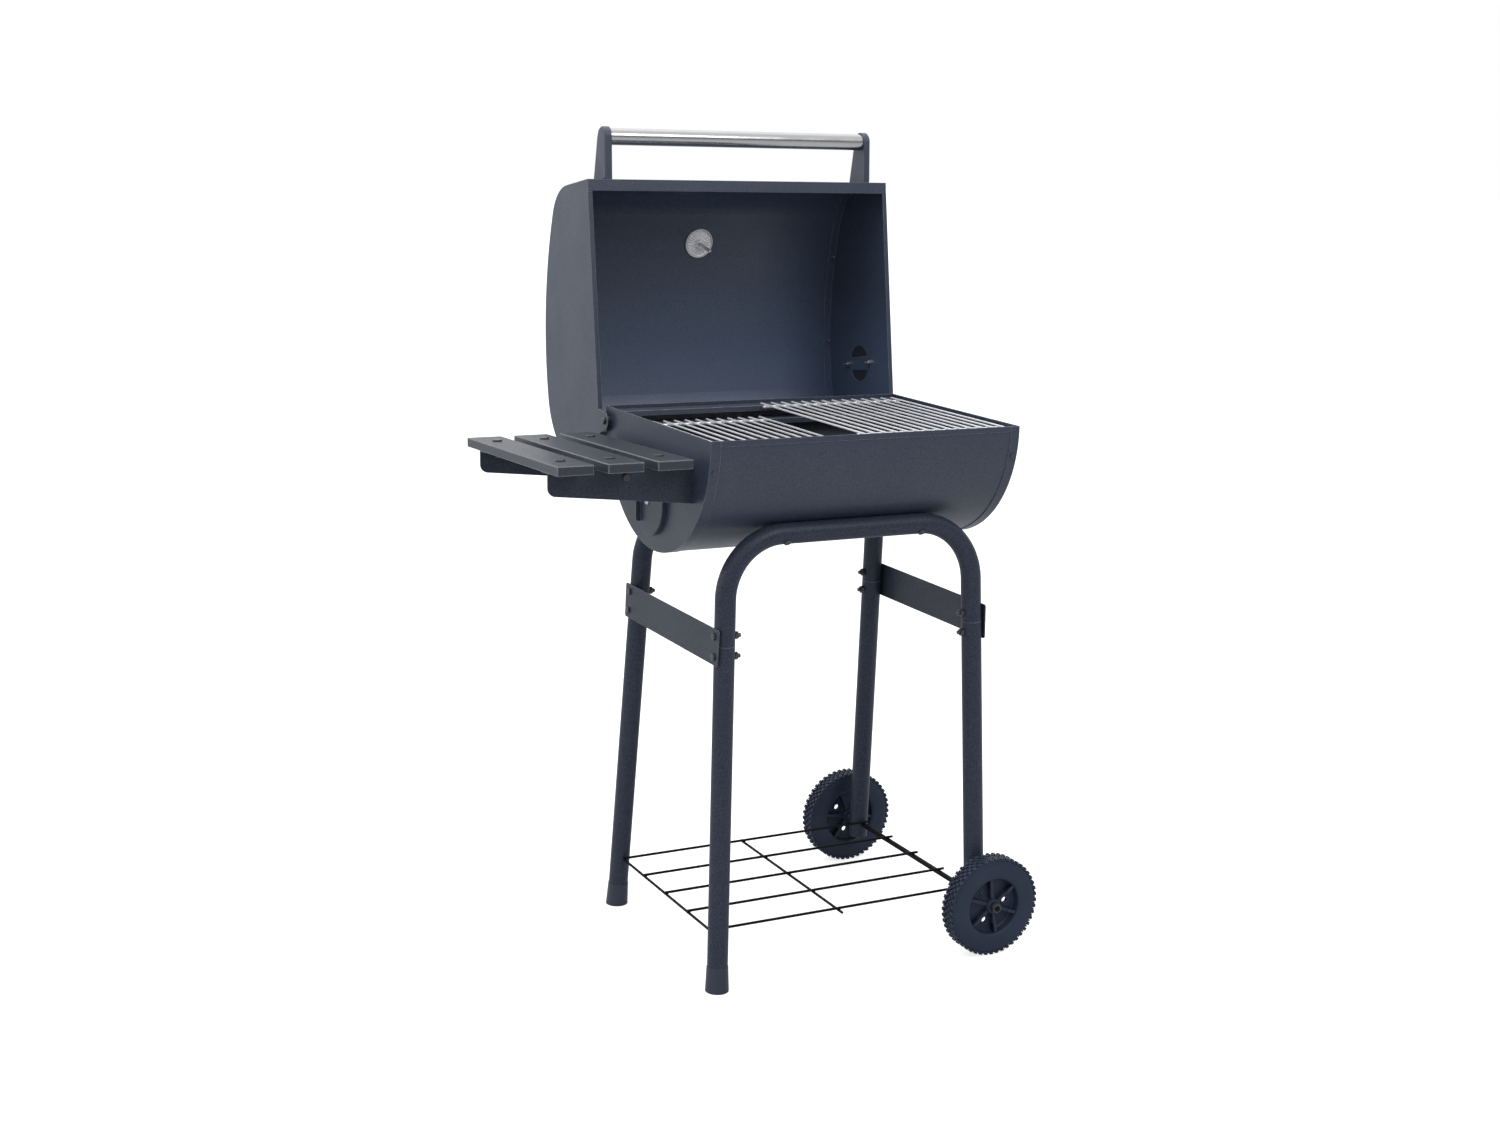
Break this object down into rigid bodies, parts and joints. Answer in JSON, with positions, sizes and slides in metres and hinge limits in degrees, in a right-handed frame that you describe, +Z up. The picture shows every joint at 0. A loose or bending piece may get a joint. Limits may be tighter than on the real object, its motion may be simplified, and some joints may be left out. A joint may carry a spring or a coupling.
{
  "type": "barrel charcoal grill",
  "caption": "Half-barrel charcoal grill with a hinged hood, slatted side shelf, cooking grates and a tube stand on wheels.",
  "frame": {"origin": "on the ground, below the middle of the firebox", "axes": "+X along the barrel from the side shelf to the wheels, +Y from the front to the back, +Z up"},
  "size_m": [0.758, 0.6521, 1.1994],
  "materials": {
    "powder_coat": "satin dark blue-grey powder coat",
    "lid_coat": "satin dark blue-grey powder coat",
    "firebox_coat": "satin dark blue-grey powder coat",
    "frame_coat": "satin dark powder coat",
    "bright_wire": "polished chrome plating",
    "steel": "zinc plated",
    "stainless": "polished",
    "black_fastener": "black coated",
    "black_wire": "black coated wire",
    "dark_plastic": "matt",
    "wheel_plastic": "matt moulded",
    "stained_wood": "dark stain",
    "dial_paint": "printed white",
    "needle_paint": "matt red",
    "clear_glass": "clear"
  },
  "bodies": {
    "stand": {"front_frame_tube": "frame_coat", "rear_frame_tube": "frame_coat", "front_left_leg": "frame_coat", "rear_left_leg": "frame_coat", "front_right_leg": "frame_coat", "rear_right_leg": "frame_coat", "foot_caps": "dark_plastic", "left_side_plate": "frame_coat", "right_side_plate": "frame_coat", "side_plate_bolts": "black_fastener", "side_plate_nuts": "black_fastener", "frame_bolts": "black_fastener", "frame_nuts": "black_fastener", "wire_shelf": "black_wire", "axle": "black_fastener", "wheel_spacers": "dark_plastic", "axle_nuts": "black_fastener", "firebox_shell": "firebox_coat", "firebox_left_end": "firebox_coat", "firebox_right_end": "firebox_coat", "firebox_end_screws": "black_fastener", "grate_ledges": "firebox_coat", "damper_rivet": "steel", "hinge_bolts": "black_fastener", "hinge_spacers": "black_fastener", "hinge_nuts": "black_fastener", "lid_stop_screws": "black_fastener", "front_shelf_bracket": "powder_coat", "rear_shelf_bracket": "powder_coat", "outer_shelf_slat": "stained_wood", "middle_shelf_slat": "stained_wood", "inner_shelf_slat": "stained_wood", "slat_bolts": "black_fastener", "slat_nuts": "black_fastener", "bracket_bolts": "black_fastener", "bracket_nuts": "black_fastener"},
    "lid": {"lid_shell": "lid_coat", "lid_left_end": "lid_coat", "lid_right_end": "lid_coat", "lid_end_screws": "steel", "left_handle_post": "dark_plastic", "right_handle_post": "dark_plastic", "handle_tube": "stainless", "handle_screws": "black_fastener", "thermometer_case": "stainless", "thermometer_dial": "dial_paint", "thermometer_glass": "clear_glass", "thermometer_stem": "steel", "thermometer_backplate": "stainless", "lid_vent_screws": "steel"},
    "thermometer_pointer": {"thermometer_needle": "needle_paint"},
    "vent_cover": {"lid_vent_cover": "black_fastener"},
    "damper": {"firebox_damper": "powder_coat"},
    "front_wheel": {"front_wheel": "wheel_plastic"},
    "rear_wheel": {"rear_wheel": "wheel_plastic"},
    "left_grate": {"left_cooking_grate": "bright_wire"},
    "right_grate": {"right_cooking_grate": "bright_wire"},
    "fire_grate": {"charcoal_grate": "steel"}
  },
  "joints": [
    {"name": "lid_hinge", "type": "hinge", "parent": "stand", "child": "lid", "pos_m": [0, 0.166, 0.772], "axis": [1, 0, 0], "range_deg": [0, 98.8]},
    {"name": "needle_turn", "type": "hinge", "parent": "lid", "child": "thermometer_pointer", "pos_m": [0, 0.39167, 1.01838], "axis": [0, -0.9741, -0.2263], "range_deg": [0, 260]},
    {"name": "vent_cover_swing", "type": "hinge", "parent": "lid", "child": "vent_cover", "pos_m": [0.2577, 0.33415, 0.82146], "axis": [1, 0, 0], "range_deg": [0, 80]},
    {"name": "damper_turn", "type": "hinge", "parent": "stand", "child": "damper", "pos_m": [-0.2497, 0.008, 0.68], "axis": [1, 0, 0], "range_deg": [0, 180]},
    {"name": "front_wheel_spin", "type": "hinge", "parent": "stand", "child": "front_wheel", "pos_m": [0.21662, -0.2167, 0.076], "axis": [0, 1, 0], "continuous": true},
    {"name": "rear_wheel_spin", "type": "hinge", "parent": "stand", "child": "rear_wheel", "pos_m": [0.21662, 0.2167, 0.076], "axis": [0, 1, 0], "continuous": true},
    {"name": "left_grate_lift", "type": "slide", "parent": "stand", "child": "left_grate", "axis": [0, 0, 1], "range_m": [0, 0.06]},
    {"name": "right_grate_lift", "type": "slide", "parent": "stand", "child": "right_grate", "axis": [0, 0, 1], "range_m": [0, 0.06]},
    {"name": "fire_grate_lift", "type": "slide", "parent": "stand", "child": "fire_grate", "axis": [0, 0, 1], "range_m": [0, 0.06]}
  ]
}
